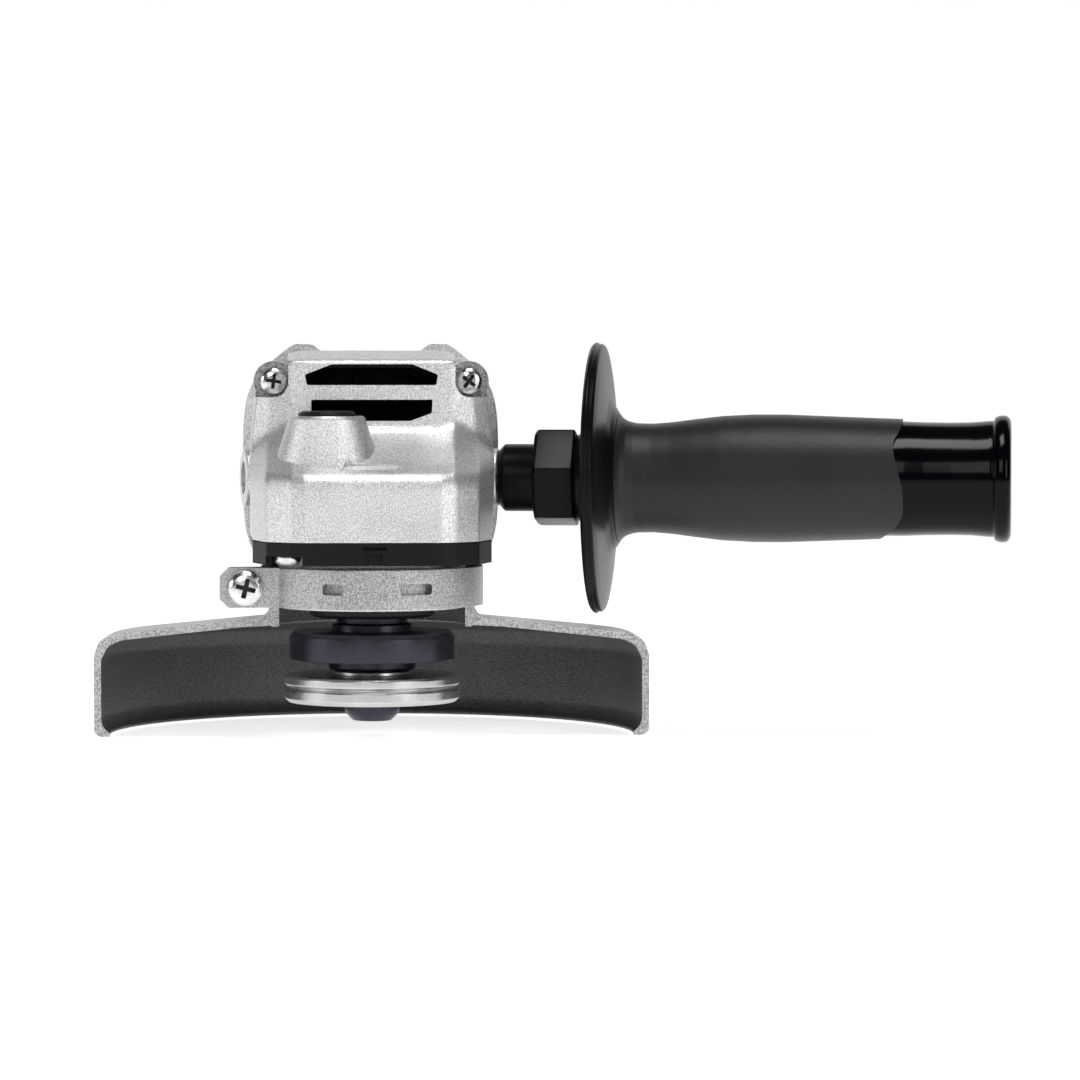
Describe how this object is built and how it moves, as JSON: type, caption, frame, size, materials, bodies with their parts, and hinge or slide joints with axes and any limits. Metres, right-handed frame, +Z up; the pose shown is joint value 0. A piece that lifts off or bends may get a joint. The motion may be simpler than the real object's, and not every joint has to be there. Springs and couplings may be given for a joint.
{
  "type": "angle grinder",
  "caption": "Hand-held angle grinder with a bevel gear head, a half-round wheel guard on a clamp band, a side handle with a hand disc, and a slide switch.",
  "frame": {"origin": "centre of the flat end face of the output spindle", "axes": "+X towards the side handle, +Y back along the motor to the cord inlet, +Z up from the spindle end towards the gear head"},
  "size_m": [0.2362, 0.293, 0.1002],
  "materials": {
    "cast_aluminium": "bare die casting with a fine grain",
    "guard_steel": "satin silver paint",
    "dark_steel": "blackened steel",
    "zinc_steel": "bright zinc plate",
    "plain_steel": "ground steel",
    "laminations": "stacked steel sheets",
    "copper": "enamelled copper wire and bar",
    "brass": "plain brass",
    "carbon": "pressed carbon",
    "black_plastic": "fine matte black moulding",
    "gloss_plastic": "smooth glossy black moulding",
    "soft_rubber": "soft matte grip rubber"
  },
  "bodies": {
    "housing": {"bearing_flange": "cast_aluminium", "bearing_retainer": "black_plastic", "cord_inlet": "soft_rubber", "fan_baffle": "black_plastic", "field_coil_lower": "copper", "field_coil_upper": "copper", "flange_cover": "black_plastic", "flange_screw_1": "zinc_steel", "flange_screw_2": "zinc_steel", "flange_screw_3": "zinc_steel", "flange_screw_4": "zinc_steel", "front_bearing": "plain_steel", "gear_housing": "cast_aluminium", "grip_sleeve": "soft_rubber", "handle_core": "black_plastic", "handle_end": "gloss_plastic", "handle_stud": "zinc_steel", "housing_screw_1": "zinc_steel", "housing_screw_2": "zinc_steel", "housing_screw_3": "zinc_steel", "housing_screw_4": "zinc_steel", "left_brush_holder": "brass", "left_brush_spring": "plain_steel", "lock_spring": "plain_steel", "motor_housing": "black_plastic", "needle_bush": "brass", "rear_bearing": "plain_steel", "rear_handle_left": "black_plastic", "rear_handle_right": "black_plastic", "rear_screw_1": "zinc_steel", "rear_screw_2": "zinc_steel", "rear_screw_3": "zinc_steel", "right_brush_holder": "brass", "right_brush_spring": "plain_steel", "spindle_bearing_balls": "plain_steel", "spindle_bearing_outer_race": "plain_steel", "stator_core": "laminations", "switch_unit": "black_plastic"},
    "spindle_group": {"spindle": "dark_steel", "inner_flange": "dark_steel", "clamp_nut": "zinc_steel", "drive_gear": "plain_steel", "spindle_bearing_inner_race": "plain_steel"},
    "rotor": {"armature_shaft": "plain_steel", "pinion": "plain_steel", "pinion_nut": "plain_steel", "armature_core": "laminations", "armature_windings": "copper", "commutator": "copper", "fan": "black_plastic"},
    "spindle_lock": {"lock_button": "black_plastic", "lock_pin": "plain_steel"},
    "wheel_guard": {"guard_shell": "guard_steel", "clamp_band": "guard_steel", "clamp_screw": "zinc_steel", "clamp_square_nut": "zinc_steel"},
    "slide_switch": {"switch_button": "black_plastic", "switch_rod": "black_plastic"},
    "brush_left": {"left_brush": "carbon"},
    "brush_right": {"right_brush": "carbon"}
  },
  "joints": [
    {"name": "armature_spin", "type": "hinge", "parent": "housing", "child": "rotor", "pos_m": [0, 0.06, 0.064], "axis": [0, 1, 0], "continuous": true},
    {"name": "spindle_spin", "type": "hinge", "parent": "housing", "child": "spindle_group", "pos_m": [0, 0, 0], "axis": [0, 0, 1], "continuous": true},
    {"name": "lock_press", "type": "slide", "parent": "housing", "child": "spindle_lock", "axis": [0, 0, -1], "range_m": [0, 0.004], "stiffness_N_per_m": 600, "deforming": ["lock_spring"]},
    {"name": "guard_turn", "type": "hinge", "parent": "housing", "child": "wheel_guard", "pos_m": [0, 0, 0.03], "axis": [0, 0, 1], "range_deg": [-30, 120]},
    {"name": "switch_slide", "type": "slide", "parent": "housing", "child": "slide_switch", "axis": [0, -1, 0], "range_m": [0, 0.006]},
    {"name": "left_brush_wear", "type": "slide", "parent": "housing", "child": "brush_left", "axis": [-1, 0, 0], "range_m": [0, 0.003], "stiffness_N_per_m": 300, "deforming": ["left_brush_spring"]},
    {"name": "right_brush_wear", "type": "slide", "parent": "housing", "child": "brush_right", "axis": [1, 0, 0], "range_m": [0, 0.003], "stiffness_N_per_m": 300, "deforming": ["right_brush_spring"]}
  ],
  "couplings": [
    {"joint": "spindle_spin", "follows": "armature_spin", "ratio": 0.33333}
  ]
}
